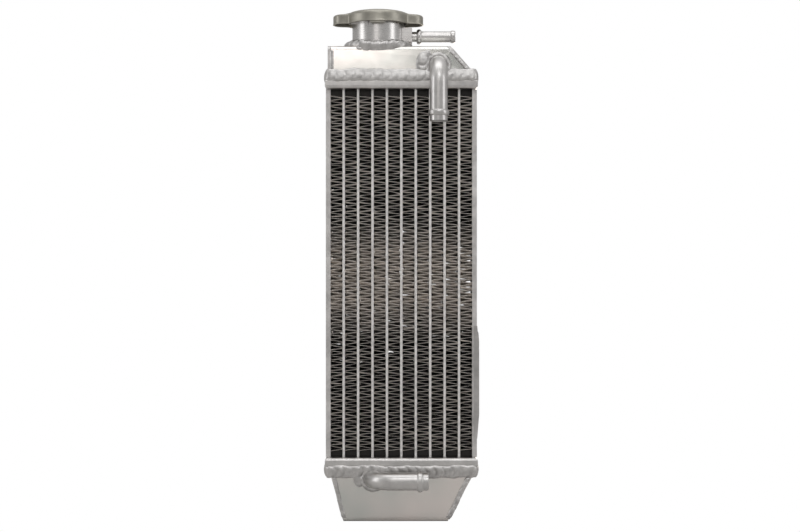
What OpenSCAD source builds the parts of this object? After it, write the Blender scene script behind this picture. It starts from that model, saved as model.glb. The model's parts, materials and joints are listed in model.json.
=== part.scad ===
// Slim welded aluminium radiator with a bayonet pressure cap.
// Millimetres. X to the right, Y to the rear, Z up.
// The origin is on the flat underside of the bottom tank, on the core's centre line.

/* [Core] */
// Number of flat tubes
tube_count = 9; // [5:1:9]
// Distance between neighbouring tubes
tube_pitch = 10.5; // [8:0.5:10.5]
// Thickness of a flat tube
tube_t = 2; // [1.6:0.2:2.4]
// Front to back depth of tubes and fins
core_depth = 32; // [26:1:34]
// Rise of one fin leg
fin_rise = 1.93; // [1.8:0.1:4]
// Thickness of the fin strip
fin_t = 0.14; // [0.1:0.02:0.3]

/* [Tanks] */
// Front to back depth of both tanks
tank_depth = 40; // [36:1:44]
// Sheet thickness of tanks and headers
sheet = 2; // [1.5:0.25:2.5]
// Height of the bottom header's face
low_header_z = 46.3; // [44:0.5:50]
// Height of the top header's face
high_header_z = 314; // [250:1:314]
// Height of the top tank above the top header's face
top_tank_h = 31.3; // [30:0.5:36]

/* [Pipes] */
// Outer radius of the hose pipes
pipe_r = 6.4; // [6:0.2:7]
// Wall of the hose pipes
pipe_wall = 1.4; // [1:0.2:1.8]
// Distance of a pipe's leg from the middle of the core
pipe_leg_y = 37; // [36:0.5:40]

/* [Cap] */
// Distance of the filler neck from the centre line, to the left
neck_x = 17.1; // [14:0.5:20]
// Reach of the cap's ears from its axis
ear_reach = 33.4; // [30:0.2:36]
// Width of an ear
ear_w = 17; // [14:0.5:18]
// Lift of the cap over its quarter turn
cap_lift = 2; // [1.5:0.1:2]

/* [Bracket] */
// Distance between the two mounting holes
hole_spacing = 52; // [44:1:56]
// Bore radius of the mounting collars
collar_bore_r = 3.2; // [3.1:0.1:3.6]

/* [Hidden] */
$fn = 48;
eps = 0.01;
far = 400;

// Core
tube_wall = 0.35;
fin_w = tube_pitch - tube_t;
core_w = (tube_count + 1) * tube_pitch - tube_t;
core_y = core_depth / 2;
tube_over = 2;
fin_gap = 4;
plate_t = 1.2;
plate_w = 3.5;

// Headers and tanks, outer faces
tank_y = tank_depth / 2;
header_y = tank_y + sheet;
header_x = core_w / 2 + 4;
tank_x = header_x - sheet;
rim_h = 6;
bend_r = 3;
tank_top = high_header_z + top_tank_h;
chamfer_top_x = 35.6;
chamfer_low_x = 51.2;
chamfer_low_z = tank_top - 17.9;
foot_left_x = 42;
foot_right_x = 33.5;
slope_z_left = low_header_z - 4.8;
slope_z_right = low_header_z - 9.8;

// Pipes
pipe_bore_r = pipe_r - pipe_wall;
pipe_bend_r = 15;
bead_r = 7.3;
bead_w = 3.6;
inlet_x = 26.7;
inlet_z = high_header_z + 17;
inlet_end_z = inlet_z - 42.4;
outlet_x = 20.5;
outlet_z = 31.2;
outlet_end_x = 19.4;
bead_from_end = 6;

// Filler neck
neck_r = 19;
throat_r = 16.5;
seat_bore_r = 13;
spigot_r = 15;
flange_r = 21.2;
neck_top = tank_top + 23;
seat_z = tank_top + 6.2;
boss_reach = 25;
boss_w = 13;
nipple_z = tank_top + 9.6;
nipple_bore_r = 2.5;
nipple_spigot_r = 3.4;

// Bayonet: the lugs stand front and back, and a quarter turn brings them to the notches
lug_half = 14;
lug_r = 19.5;
lug_low = neck_top - 6.5;
lug_top = neck_top - 5.3;
cam_gap = 0.3;
cam_tilt = asin((cap_lift + cam_gap) / flange_r);
stop_angle = 68;
notch_half = 17;

// Cap, from the seal upwards
cover_r = 23.3;
cover_sheet = 0.8;
dome_r = 70;
dome_top = neck_top + 7.3;
crown_r = 6.5;
ear_top = neck_top + 2.1;
ear_low = neck_top - 4.9;
lock_r = 22.4;
lock_inner_r = 21.5;
lock_top = neck_top + 2.6;
lock_sheet = 1;
rivet_r = 3;
rivet_clear = 0.05;
gasket_z = neck_top + 0.1;
gasket_t = 0.9;
disc_z = gasket_z + gasket_t;
disc_t = 0.5;
cage_r = 15;
cage_wall = 0.6;
cage_low = neck_top - 9.8;
seal_z = seat_z + 0.2;
seal_top = seal_z + 2.3;
valve_r = 14;
valve_t = 0.8;
stem_r = 1.2;
stem_top = seal_top + 5.8;

// Bracket, on the right side plate
bracket_x = core_w / 2 + plate_w;
bracket_t = 1.6;
bracket_half = 41;
bracket_bevel = 18;
bracket_ear_r = 11;
hole_y = 32;
hole_mid_z = 101;
grommet_hole_r = 6.5;
grommet_r = 9.5;
grommet_t = 1.8;
collar_r = 4.6;
collar_over = 0.5;

// ---------- helpers ----------

// The XZ drawing of the child stands upright, through the given depth about Y = 0
module upright(depth) {
    translate([0, depth / 2, 0]) rotate([90, 0, 0]) linear_extrude(height = depth) children();
}

// The YZ drawing of the child runs along X from x0 to x1
module along_x(x0, x1) {
    translate([x0, 0, 0]) rotate([90, 0, 90]) linear_extrude(height = x1 - x0) children();
}

// Ring about Z between two heights
module ring(r_out, r_in, z0, z1) {
    translate([0, 0, z0]) difference() {
        cylinder(r = r_out, h = z1 - z0);
        translate([0, 0, -1]) cylinder(r = r_in, h = z1 - z0 + 2);
    }
}

// Sector of a ring about Z, from angle a0 to a1
module sector(r_in, r_out, z0, z1, a0, a1) {
    rotate([0, 0, a0]) rotate_extrude(angle = a1 - a0)
        translate([r_in, z0]) square([r_out - r_in, z1 - z0]);
}

// Round bar between two points of a plane of constant Y
module bar(x0, z0, x1, z1, y, r) {
    length = norm([x1 - x0, z1 - z0]);
    tilt = atan2(x1 - x0, z1 - z0);
    translate([x0, y, z0]) rotate([0, tilt, 0]) cylinder(r = r, h = length, $fn = 24);
    translate([x0, y, z0]) sphere(r = r, $fn = 24);
    translate([x1, y, z1]) sphere(r = r, $fn = 24);
}

module on_neck() {
    translate([-neck_x, 0, 0]) children();
}

// A coil about Z of round wire, one closed polyhedron
module coil(mean_r, wire_r, z0, z1, turns, sides, per_turn) {
    rings = round(turns * per_turn);
    function place(i, j) =
        let (turn = 360 * turns * i / rings, side = 360 * j / sides)
        [(mean_r + wire_r * cos(side)) * cos(turn),
         (mean_r + wire_r * cos(side)) * sin(turn),
         z0 + (z1 - z0) * i / rings + wire_r * sin(side)];
    points = [for (i = [0:rings]) for (j = [0:sides - 1]) place(i, j)];
    walls = [for (i = [0:rings - 1]) for (j = [0:sides - 1])
        [i * sides + j, (i + 1) * sides + j,
         (i + 1) * sides + (j + 1) % sides, i * sides + (j + 1) % sides]];
    first = [for (j = [0:sides - 1]) j];
    last = [for (j = [sides - 1:-1:0]) rings * sides + j];
    polyhedron(points = points, faces = concat([first], walls, [last]));
}

// ---------- core ----------

function tube_x(i) = (i - (tube_count + 1) / 2) * tube_pitch;
function fin_x(i) = (i - (tube_count + 2) / 2) * tube_pitch;

// Flat tube with rounded nose and tail, hollow, open at both ends
module tube(i) {
    color("gainsboro") translate([tube_x(i), 0, low_header_z - sheet - tube_over])
        linear_extrude(height = high_header_z - low_header_z + 2 * (sheet + tube_over))
        difference() {
            flat_section(tube_t / 2, core_y);
            flat_section(tube_t / 2 - tube_wall, core_y - tube_wall);
        }
}

module flat_section(half_t, half_d) {
    square([2 * half_t, 2 * (half_d - half_t)], center = true);
    for (s = [-1, 1]) translate([0, s * (half_d - half_t)]) circle(r = half_t);
}

// Corrugated strip: it crosses from wall to wall once for every fin_rise of height.
// Each chain of points is outside at the crests of its own side and inside at the others.
module fin(i) {
    z0 = low_header_z + fin_gap + fin_t;
    legs = floor((high_header_z - fin_gap - z0) / fin_rise);
    half = fin_w / 2;
    flat = fin_t * 0.65;
    inside = half - 1.8 * fin_t;
    function chain(side) = [for (k = [0:legs]) let (z = z0 + k * fin_rise)
        each ((k % 2 == 0) == (side < 0)
            ? [[side * half, z - flat], [side * half, z + flat]]
            : [[-side * inside, z]])];
    left = chain(-1);
    right = chain(1);
    color("dimgray") translate([fin_x(i), 0, 0]) upright(core_depth - 2 * tube_t)
        polygon(concat(left, [for (k = [len(right) - 1:-1:0]) right[k]]));
}

// Side channel: web against the outer fin, lips turned outwards
module side_plate(side) {
    x0 = core_w / 2;
    height = high_header_z - low_header_z;
    color("silver") translate([0, 0, low_header_z]) linear_extrude(height = height)
        mirror([side < 0 ? 1 : 0, 0]) {
            translate([x0, -core_y]) square([plate_t, core_depth]);
            translate([x0, -core_y]) square([plate_w, plate_t]);
            translate([x0, core_y - plate_t]) square([plate_w, plate_t]);
        }
}

// Header tray with its rim upwards, z from 0, slots for the tubes
module header_tray() {
    difference() {
        translate([-header_x, -header_y, 0]) cube([2 * header_x, 2 * header_y, rim_h]);
        translate([-tank_x, -tank_y, sheet]) cube([2 * tank_x, tank_depth, rim_h]);
        for (i = [1:tube_count]) translate([tube_x(i), 0, -1])
            linear_extrude(height = sheet + 2) flat_section(tube_t / 2, core_y);
    }
}

module top_header() {
    color("silver") translate([0, 0, high_header_z]) header_tray();
}

module bottom_header() {
    color("silver") translate([0, 0, low_header_z]) mirror([0, 0, 1]) header_tray();
}

// ---------- tanks ----------

// YZ section of a tank, closed end at the given height, with round bends; t is taken off all round
module tank_section(open_z, closed_z, t) {
    up = sign(closed_z - open_z);
    half = tank_y - t;
    tip = closed_z - up * t;
    r = max(bend_r - t, 0.5);
    low = min(open_z, tip - up * r);
    high = max(open_z, tip - up * r);
    translate([-half, low]) square([2 * half, high - low]);
    translate([-(half - r), min(tip, open_z)]) square([2 * (half - r), abs(tip - open_z)]);
    for (s = [-1, 1]) translate([s * (half - r), tip - up * r]) circle(r = r);
}

// XZ outline of the top tank; t is taken off both ends
module top_outline(t, z0) {
    slant = norm([chamfer_low_x - chamfer_top_x, tank_top - chamfer_low_z]);
    along = t * slant / (tank_top - chamfer_low_z);
    polygon([[-tank_x + t, z0], [-tank_x + t, tank_top + 1],
             [chamfer_top_x - along - 0.9, tank_top + 1],
             [chamfer_top_x - along, tank_top],
             [chamfer_low_x - along, chamfer_low_z],
             [tank_x - t, chamfer_low_z - 3], [tank_x - t, z0]]);
}

module top_envelope() {
    z0 = high_header_z + sheet;
    intersection() {
        along_x(-tank_x, tank_x) tank_section(z0, tank_top, 0);
        upright(tank_depth) top_outline(0, z0);
    }
}

module top_shell() {
    z0 = high_header_z + sheet;
    difference() {
        top_envelope();
        intersection() {
            along_x(-tank_x, tank_x) tank_section(z0 - 1, tank_top, sheet);
            upright(tank_depth) top_outline(sheet, z0 - 1);
        }
        on_neck() translate([0, 0, tank_top - 2 * sheet]) cylinder(r = spigot_r, h = 3 * sheet);
        stub_hole(inlet_x, inlet_z);
    }
}

module stub_hole(x, z) {
    translate([x, -tank_y + 2 * sheet, z]) rotate([90, 0, 0]) cylinder(r = pipe_r, h = 3 * sheet);
}

module top_tank_wrap() {
    color("lightgray") intersection() {
        top_shell();
        upright(tank_depth) top_outline(sheet, high_header_z);
    }
}

module top_tank_left_end() {
    color("lightgray") intersection() {
        top_shell();
        translate([-tank_x - 1, -far / 2, 0]) cube([sheet + 1, far, far]);
    }
}

module top_tank_right_end() {
    color("lightgray") difference() {
        top_shell();
        upright(tank_depth + 2) union() {
            top_outline(sheet, high_header_z);
            translate([-far, 0]) square([far, far]);
        }
    }
}

// XZ outline of the bottom tank; t is taken off both ends
module bottom_outline(t, z1) {
    left = t * norm([tank_x - foot_left_x, slope_z_left]) / slope_z_left;
    right = t * norm([tank_x - foot_right_x, slope_z_right]) / slope_z_right;
    polygon([[-foot_left_x + left, 0], [foot_right_x - right, 0],
             [tank_x - right, slope_z_right], [tank_x - t, slope_z_right + 1.2],
             [tank_x - t, z1], [-tank_x + t, z1], [-tank_x + t, slope_z_left + 0.6],
             [-tank_x + left, slope_z_left]]);
}

module bottom_shell() {
    z1 = low_header_z - sheet;
    difference() {
        intersection() {
            along_x(-far / 2, far / 2) tank_section(z1, 0, 0);
            upright(tank_depth) bottom_outline(0, z1);
        }
        intersection() {
            along_x(-far / 2, far / 2) tank_section(z1 + 1, 0, sheet);
            upright(tank_depth) bottom_outline(sheet, z1 + 1);
        }
        stub_hole(-outlet_x, outlet_z);
    }
}

module bottom_tank_wrap() {
    color("lightgray") intersection() {
        bottom_shell();
        upright(tank_depth) bottom_outline(sheet, low_header_z);
    }
}

module bottom_tank_end(side) {
    color("lightgray") difference() {
        bottom_shell();
        upright(tank_depth + 2) union() {
            bottom_outline(sheet, low_header_z);
            translate([side > 0 ? -far : 0, -1]) square([far, far]);
        }
    }
}

// ---------- pipes ----------

// Outer or inner surface of the straight, bend and leg of a pipe whose leg runs down
module elbow(r, leg, open) {
    over = open ? 1 : 0;
    bend_y = -(pipe_leg_y - pipe_bend_r);
    translate([0, bend_y, 0]) rotate([-90, 0, 0])
        cylinder(r = r, h = -bend_y - tank_y + sheet + over);
    translate([0, bend_y, -pipe_bend_r]) rotate([90, 0, -90])
        rotate_extrude(angle = 90) translate([pipe_bend_r, 0]) circle(r = r);
    translate([0, -pipe_leg_y, -leg - over]) cylinder(r = r, h = leg - pipe_bend_r + over);
}

// Pipe with a rolled hose bead near the end of its leg
module hose_pipe(leg) {
    difference() {
        union() {
            elbow(pipe_r, leg, false);
            translate([0, -pipe_leg_y, -leg + bead_from_end]) rotate_extrude()
                hose_bead_section();
        }
        elbow(pipe_bore_r, leg, true);
    }
}

module hose_bead_section() {
    translate([pipe_bore_r + 0.5, -bead_w / 2]) square([pipe_r - pipe_bore_r - 0.4, bead_w]);
    translate([bead_r - bead_w / 2, 0]) circle(r = bead_w / 2);
}

module inlet_pipe() {
    color("silver") translate([inlet_x, 0, inlet_z]) hose_pipe(inlet_z - inlet_end_z);
}

module outlet_pipe() {
    color("silver") translate([-outlet_x, 0, outlet_z]) rotate([0, -90, 0])
        hose_pipe(outlet_end_x + outlet_x);
}

// ---------- filler neck ----------

module filler_neck() {
    color("silver") on_neck() difference() {
        union() {
            rotate_extrude() polygon([
                [seat_bore_r, tank_top - sheet], [spigot_r, tank_top - sheet],
                [spigot_r, tank_top], [neck_r, tank_top], [neck_r, lug_low],
                [flange_r, lug_low], [flange_r, neck_top - 0.5], [flange_r - 0.5, neck_top],
                [throat_r + 0.6, neck_top], [throat_r, neck_top - 0.6], [throat_r, seat_z],
                [seat_bore_r, seat_z]]);
            translate([neck_r - 2, -boss_w / 2, tank_top + 5.1])
                cube([boss_reach - neck_r + 2, boss_w, 10.2]);
        }
        flange_cuts();
        translate([0, 0, nipple_z]) rotate([0, 90, 0]) cylinder(r = nipple_bore_r, h = boss_reach + 1);
        translate([boss_reach - 5, 0, nipple_z]) rotate([0, 90, 0])
            cylinder(r = nipple_spigot_r, h = 6);
    }
}

// What is cut from the flange: under the plain land up to a stop on each side, under the
// two cams that rise towards the notches, and the notches themselves
module flange_cuts() {
    low = lug_low - 1;
    span = 2 * flange_r + 6;
    notch_w = 2 * flange_r * sin(notch_half);
    land_z = lug_top + cam_gap;
    intersection() {
        ring(flange_r + 2, neck_r - 0.05, low + 0.5, neck_top + 2);
        union() {
            difference() {
                translate([-span / 2, -span / 2, low]) cube([span, span, land_z - low]);
                for (side = [0, 180]) rotate([0, 0, side + stop_angle])
                    translate([neck_r - 1, -0.7, low - 1]) cube([flange_r, 1.4, land_z - low + 2]);
            }
            translate([-span / 2, -notch_w / 2, low - 1]) cube([span, notch_w, neck_top + 4 - low]);
            for (side = [0, 180]) rotate([0, 0, side])
                translate([0, 1, land_z]) rotate([0, cam_tilt, 0])
                    translate([-span, 0, -4]) cube([span, span / 2, 4]);
        }
    }
}

module overflow_nipple() {
    color("whitesmoke") on_neck() translate([0, 0, nipple_z]) rotate([0, 90, 0])
        rotate_extrude() polygon([
            [nipple_bore_r, boss_reach - 5], [nipple_spigot_r, boss_reach - 5],
            [nipple_spigot_r, boss_reach], [3.7, boss_reach], [3.7, 28.5], [5.1, 28.5],
            [5.5, 28.9], [5.5, 31.5], [5.1, 31.9], [4, 31.9], [4, 53.5], [4.35, 53.7],
            [4.65, 54.2], [4.65, 56.2], [4.3, 56.9], [nipple_bore_r, 56.9]]);
}

// ---------- mounting bracket ----------

module at_holes() {
    for (s = [-1, 1]) translate([bracket_x, hole_y, hole_mid_z + s * hole_spacing / 2])
        rotate([0, 90, 0]) children();
}

// YZ outline of the plate behind the core, with an ear round each hole
module bracket_rear_outline() {
    tab_z = hole_spacing / 2;
    polygon([[core_y, hole_mid_z - bracket_half], [hole_y, hole_mid_z - tab_z - bracket_ear_r],
             [hole_y, hole_mid_z + tab_z + bracket_ear_r], [core_y, hole_mid_z + bracket_half]]);
    for (s = [-1, 1]) translate([hole_y, hole_mid_z + s * tab_z]) circle(r = bracket_ear_r);
}

// Plate over the open side of the right channel, folded round its front lip.
// The ends are bevelled down to the channel.
module mount_bracket() {
    z0 = hole_mid_z - bracket_half;
    z1 = hole_mid_z + bracket_half;
    front = core_y + bracket_t;
    color("silver") difference() {
        union() {
            intersection() {
                union() {
                    translate([bracket_x, -front, z0])
                        cube([bracket_t, front + core_y, z1 - z0]);
                    translate([bracket_x - 2.2, -front, z0]) cube([3, bracket_t, z1 - z0]);
                }
                upright(3 * core_depth) polygon([
                    [bracket_x - 3, z0], [bracket_x + 0.2, z0],
                    [bracket_x + bracket_t, z0 + bracket_bevel],
                    [bracket_x + bracket_t, z1 - bracket_bevel],
                    [bracket_x + 0.2, z1], [bracket_x - 3, z1]]);
            }
            along_x(bracket_x, bracket_x + bracket_t) difference() {
                bracket_rear_outline();
                translate([hole_y + bracket_ear_r, hole_mid_z]) circle(r = 18);
            }
        }
        at_holes() translate([0, 0, -1]) cylinder(r = grommet_hole_r, h = bracket_t + 2);
    }
}

module mount_grommets() {
    color("#222222") at_holes() {
        ring(grommet_r, collar_r, -grommet_t, 0);
        ring(grommet_hole_r, collar_r, 0, bracket_t);
        ring(grommet_r, collar_r, bracket_t, bracket_t + grommet_t);
    }
}

module mount_collars() {
    color("lightgray") at_holes()
        ring(collar_r, collar_bore_r, -grommet_t - collar_over, bracket_t + grommet_t + collar_over);
}

// ---------- welds ----------

// Bead all round a tank against the rim of its header, z from the rim's edge
module header_bead(h, out) {
    intersection() {
        along_x(-header_x - 1, header_x + 1) polygon([
            [-header_y, 0], [-header_y - 0.2, 1], [-header_y + 0.2, h * 0.4],
            [-tank_y - 0.9, h * 0.8], [-tank_y, h], [tank_y, h], [tank_y + 0.9, h * 0.8],
            [header_y - 0.2, h * 0.4], [header_y + 0.2, 1], [header_y, 0]]);
        upright(tank_depth + 10) polygon([
            [-header_x, 0], [-header_x - out, 1], [-header_x + 0.2, h * 0.5],
            [-tank_x, h], [tank_x, h], [header_x - 0.2, h * 0.5], [header_x + out, 1],
            [header_x, 0]]);
    }
}

module top_header_weld() {
    color("silver") difference() {
        translate([0, 0, high_header_z + rim_h]) header_bead(8.5, 0.5);
        top_envelope();
        stub_hole(inlet_x, inlet_z);
    }
}

module bottom_header_weld() {
    color("silver") difference() {
        translate([0, 0, low_header_z - rim_h]) mirror([0, 0, 1]) header_bead(9, 0.5);
        upright(tank_depth) bottom_outline(0, low_header_z);
        stub_hole(-outlet_x, outlet_z);
    }
}

// Beads along the joints between the wrap and the end plates
module top_end_welds() {
    r = 1.3;
    in = sheet;
    z0 = high_header_z + rim_h + 8;
    color("silver") difference() {
        for (s = [-1, 1]) {
            bar(-tank_x + in, z0, -tank_x + in, tank_top - bend_r, s * tank_y, r);
            bar(chamfer_top_x - in, tank_top - bend_r, chamfer_low_x - in, chamfer_low_z - 1,
                s * tank_y, r);
        }
        translate([0, 0, -eps]) upright(tank_depth) top_outline(0, high_header_z);
        translate([-far / 2, -far / 2, 0]) cube([far, far, high_header_z + rim_h + 8.5]);
    }
}

module bottom_end_welds() {
    r = 1.3;
    in = sheet;
    slope_l = (tank_x - foot_left_x) / slope_z_left;
    slope_r = (tank_x - foot_right_x) / slope_z_right;
    z0 = bend_r;
    z1 = low_header_z - rim_h - 8;
    color("silver") difference() {
        for (s = [-1, 1]) {
            bar(-foot_left_x - slope_l * z0 + in, z0, -foot_left_x - slope_l * z1 + in, z1,
                s * tank_y, r);
            bar(foot_right_x + slope_r * z0 - in, z0, foot_right_x + slope_r * z1 - in, z1,
                s * tank_y, r);
        }
        upright(tank_depth) bottom_outline(0, low_header_z);
        translate([-far / 2, -far / 2, low_header_z - rim_h - 9]) cube([far, far, far]);
    }
}

// Ring round the neck that runs down over the front and rear bends of the tank
module neck_weld() {
    color("silver") difference() {
        on_neck() intersection() {
            translate([0, 0, tank_top]) rotate_extrude() polygon([
                [neck_r, -bend_r], [neck_r + 5.5, -bend_r], [neck_r + 5.5, 0.2],
                [neck_r + 4.6, 1.4], [neck_r + 2.4, 3.2], [neck_r + 0.4, 4.9], [neck_r, 5]]);
            translate([-far / 2, -tank_y - 0.6, 0]) cube([far, tank_depth + 1.2, far]);
        }
        top_envelope();
    }
}

// Fillet round a pipe where it leaves the face of a tank
module stub_bead() {
    translate([0, -tank_y, 0]) rotate([90, 0, 0]) rotate_extrude() polygon([
        [pipe_r, 0], [pipe_r + 3.4, 0], [pipe_r + 2.8, 0.9], [pipe_r + 1, 1.7], [pipe_r, 2]]);
}

module inlet_weld() {
    color("silver") difference() {
        translate([inlet_x, 0, inlet_z]) stub_bead();
        translate([-far / 2, -far / 2, 0]) cube([far, far, high_header_z + rim_h + 8.5]);
    }
}

module outlet_weld() {
    color("silver") difference() {
        translate([-outlet_x, 0, outlet_z]) stub_bead();
        translate([-far / 2, -far / 2, low_header_z - rim_h - 9]) cube([far, far, far]);
    }
}

// Short stitches that hold the bracket to the lips of the side channel
module bracket_welds() {
    color("silver") for (z = [-30, 0, 30]) difference() {
        translate([bracket_x, core_y, hole_mid_z + z - 6]) cylinder(r = 1.6, h = 12);
        translate([bracket_x - 5, 0, 0]) cube([5, core_y, far]);
        translate([bracket_x, 0, 0]) cube([5, far, far]);
    }
}

// ---------- pressure cap ----------

function dome_z(r, drop) = dome_top - drop - (dome_r - sqrt(dome_r * dome_r - r * r));

module ear_shape(grow) {
    r = ear_w / 2 + grow;
    for (s = [0, 180]) rotate([0, 0, s]) {
        translate([0, -r]) square([ear_reach - ear_w / 2, 2 * r]);
        translate([ear_reach - ear_w / 2, 0]) circle(r = r);
    }
}

// Pressed cover: shallow dome, rolled shoulder, skirt and two hollow ears
module cap_cover() {
    rim_r = cover_r - 1.6;
    steps = 8;
    outer = [for (k = [0:steps]) let (r = crown_r + (rim_r - crown_r) * k / steps)
        [r, dome_z(r, 0)]];
    inner = [for (k = [steps:-1:0]) let (r = crown_r + (rim_r - 0.5 - crown_r) * k / steps)
        [r, dome_z(r, cover_sheet)]];
    hole_r = rivet_r + rivet_clear;
    flat_z = dome_z(crown_r, 0);
    skirt_in = cover_r - cover_sheet;
    color("#8f8c80") on_neck() {
        rotate_extrude() polygon(concat(
            [[hole_r, flat_z]], outer,
            [[cover_r - 0.4, dome_z(rim_r, 0.5)], [cover_r, dome_z(rim_r, 1.6)],
             [cover_r, ear_low], [skirt_in, ear_low], [skirt_in, dome_z(rim_r, 1.9)]],
            inner, [[hole_r, flat_z - cover_sheet]]));
        difference() {
            translate([0, 0, ear_low]) linear_extrude(height = ear_top - ear_low) ear_shape(0);
            translate([0, 0, ear_low - 1]) linear_extrude(height = ear_top - ear_low + 1 - cover_sheet)
                ear_shape(-cover_sheet);
            translate([0, 0, ear_low - 1]) cylinder(r = cover_r - cover_sheet / 2, h = far);
        }
    }
}

// Lock plate under the cover: its skirt is left only at the two lugs
module cap_lock_plate() {
    hole_r = rivet_r + rivet_clear;
    color("#77766f") on_neck() difference() {
        rotate_extrude() polygon([
            [hole_r, lock_top - lock_sheet], [lock_inner_r, lock_top - lock_sheet],
            [lock_inner_r, lug_top], [lug_r, lug_top], [lug_r, lug_low], [lock_r, lug_low],
            [lock_r, lock_top - 0.9], [lock_r - 0.9, lock_top], [hole_r, lock_top]]);
        for (a = [-90, 90]) sector(lug_r - 1, lock_r + 1, lug_low - 1, lug_top + 2,
            a + lug_half, a + 180 - lug_half);
    }
}

module cap_rivet() {
    under = dome_z(crown_r, 0) + rivet_clear;
    color("silver") on_neck() rotate_extrude() polygon([
        [0, disc_z - gasket_t - 2], [5, disc_z - gasket_t - 2], [5, disc_z - gasket_t],
        [rivet_r, disc_z - gasket_t], [rivet_r, under], [crown_r - 0.4, under],
        [crown_r - 0.9, dome_top + 0.15], [0, dome_top + 0.3]]);
}

module cap_spring_disc() {
    color("gold") on_neck() ring(21, rivet_r, disc_z, disc_z + disc_t);
}

module cap_gasket() {
    color("#1c1c1c") on_neck() ring(20.8, 17.2, gasket_z, gasket_z + gasket_t);
}

// Spring cage that hangs in the throat
module valve_cage() {
    top = disc_z;
    color("khaki") on_neck() {
        ring(cage_r, rivet_r, top - gasket_t, top);
        ring(cage_r, cage_r - cage_wall, cage_low, top - gasket_t / 2);
    }
}

module pressure_spring() {
    wire = 0.8;
    color("dimgray") on_neck()
        coil(10.5, wire, seal_top + valve_t + wire + 0.05, disc_z - gasket_t - wire - 0.05,
             4.5, 8, 18);
}

module pressure_valve() {
    color("khaki") on_neck() {
        ring(valve_r, stem_r + 0.4, seal_top, seal_top + valve_t);
        ring(valve_r, valve_r - cage_wall, seal_top + valve_t / 2, seal_top + 7);
    }
}

module pressure_seal() {
    color("#1c1c1c") on_neck() ring(15.4, 5.5, seal_z, seal_top);
}

// Small valve that opens downwards when the system cools
module vacuum_valve() {
    color("goldenrod") on_neck() {
        translate([0, 0, seal_z - 1.2]) cylinder(r = 8, h = 1.1);
        translate([0, 0, seal_z - 0.6]) cylinder(r = stem_r, h = stem_top - seal_z);
        translate([0, 0, stem_top - 0.8]) cylinder(r = 2.4, h = 0.8);
    }
}

module vacuum_spring() {
    wire = 0.2;
    color("dimgray") on_neck()
        coil(1.75, wire, seal_top + valve_t + wire + 0.05, stem_top - 0.8 - wire - 0.05, 5, 6, 12);
}

top_tank_wrap();
top_tank_left_end();
top_tank_right_end();
bottom_tank_wrap();
bottom_tank_end(-1);  // bottom_tank_left_end
bottom_tank_end(1);  // bottom_tank_right_end
top_header();
bottom_header();
side_plate(-1);  // side_plate_left
side_plate(1);  // side_plate_right
for (i = [1:tube_count]) tube(i);
for (i = [1:tube_count + 1]) fin(i);
mount_bracket();
mount_grommets();
mount_collars();
filler_neck();
overflow_nipple();
inlet_pipe();
outlet_pipe();
top_header_weld();
bottom_header_weld();
top_end_welds();
bottom_end_welds();
neck_weld();
inlet_weld();
outlet_weld();
bracket_welds();
cap_cover();
cap_lock_plate();
cap_rivet();
cap_spring_disc();
cap_gasket();
valve_cage();
pressure_spring();
pressure_valve();
pressure_seal();
vacuum_valve();
vacuum_spring();
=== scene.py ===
"""Looks of a slim welded aluminium radiator: its pieces, their finishes and the studio."""

import json
import math

import bpy
from bpy.props import FloatProperty, FloatVectorProperty, IntProperty, PointerProperty
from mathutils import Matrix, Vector, noise

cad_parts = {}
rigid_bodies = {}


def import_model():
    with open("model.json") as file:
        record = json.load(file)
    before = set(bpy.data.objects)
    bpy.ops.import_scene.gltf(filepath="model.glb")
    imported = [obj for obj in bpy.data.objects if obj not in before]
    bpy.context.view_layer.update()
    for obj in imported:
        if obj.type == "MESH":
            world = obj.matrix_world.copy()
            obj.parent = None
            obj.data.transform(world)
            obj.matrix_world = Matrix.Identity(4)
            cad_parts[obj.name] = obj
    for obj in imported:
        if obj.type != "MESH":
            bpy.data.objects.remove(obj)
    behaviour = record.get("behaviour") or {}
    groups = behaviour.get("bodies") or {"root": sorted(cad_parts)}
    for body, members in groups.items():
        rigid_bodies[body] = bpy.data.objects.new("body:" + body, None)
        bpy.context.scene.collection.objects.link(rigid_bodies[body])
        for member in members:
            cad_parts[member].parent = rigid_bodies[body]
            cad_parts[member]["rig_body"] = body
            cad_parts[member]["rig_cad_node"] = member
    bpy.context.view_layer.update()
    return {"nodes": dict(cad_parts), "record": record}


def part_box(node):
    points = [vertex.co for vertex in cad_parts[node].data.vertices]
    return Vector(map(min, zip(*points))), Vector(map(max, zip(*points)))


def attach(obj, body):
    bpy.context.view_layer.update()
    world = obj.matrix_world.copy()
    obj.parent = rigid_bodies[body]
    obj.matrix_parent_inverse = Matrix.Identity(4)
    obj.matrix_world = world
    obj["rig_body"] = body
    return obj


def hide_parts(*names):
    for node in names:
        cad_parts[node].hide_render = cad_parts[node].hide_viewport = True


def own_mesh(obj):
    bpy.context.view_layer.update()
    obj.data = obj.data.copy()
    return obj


bl_info = {
    "name": "Welded Aluminium Radiator",
    "version": (1, 0, 0),
    "blender": (4, 5, 0),
    "location": "3D View > Sidebar > Radiator",
    "description": "Builds the detailed pieces, finishes and studio of a small welded radiator",
    "category": "Object",
}

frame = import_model()

MM = 0.001
CROWN_DROP = 1.25 * MM  # the cap's crown and rivet head stand this much lower than the CAD's
RIVET_HEAD = 373 * MM
TUBES = [n for n in frame["nodes"] if n.startswith("tube_")]
FINS = sorted((n for n in frame["nodes"] if n.startswith("fin_")), key=lambda n: int(n[4:]))
BODY_OF = {n: b for b, ns in frame["record"]["behaviour"]["bodies"].items() for n in ns}


# ---------- working by hand, in code ----------


def clear_selection():
    if bpy.context.mode != "OBJECT":
        bpy.ops.object.mode_set(mode="OBJECT")
    bpy.ops.object.select_all(action="DESELECT")


def activate(obj):
    clear_selection()
    obj.hide_set(False)
    obj.select_set(True)
    bpy.context.view_layer.objects.active = obj


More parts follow.
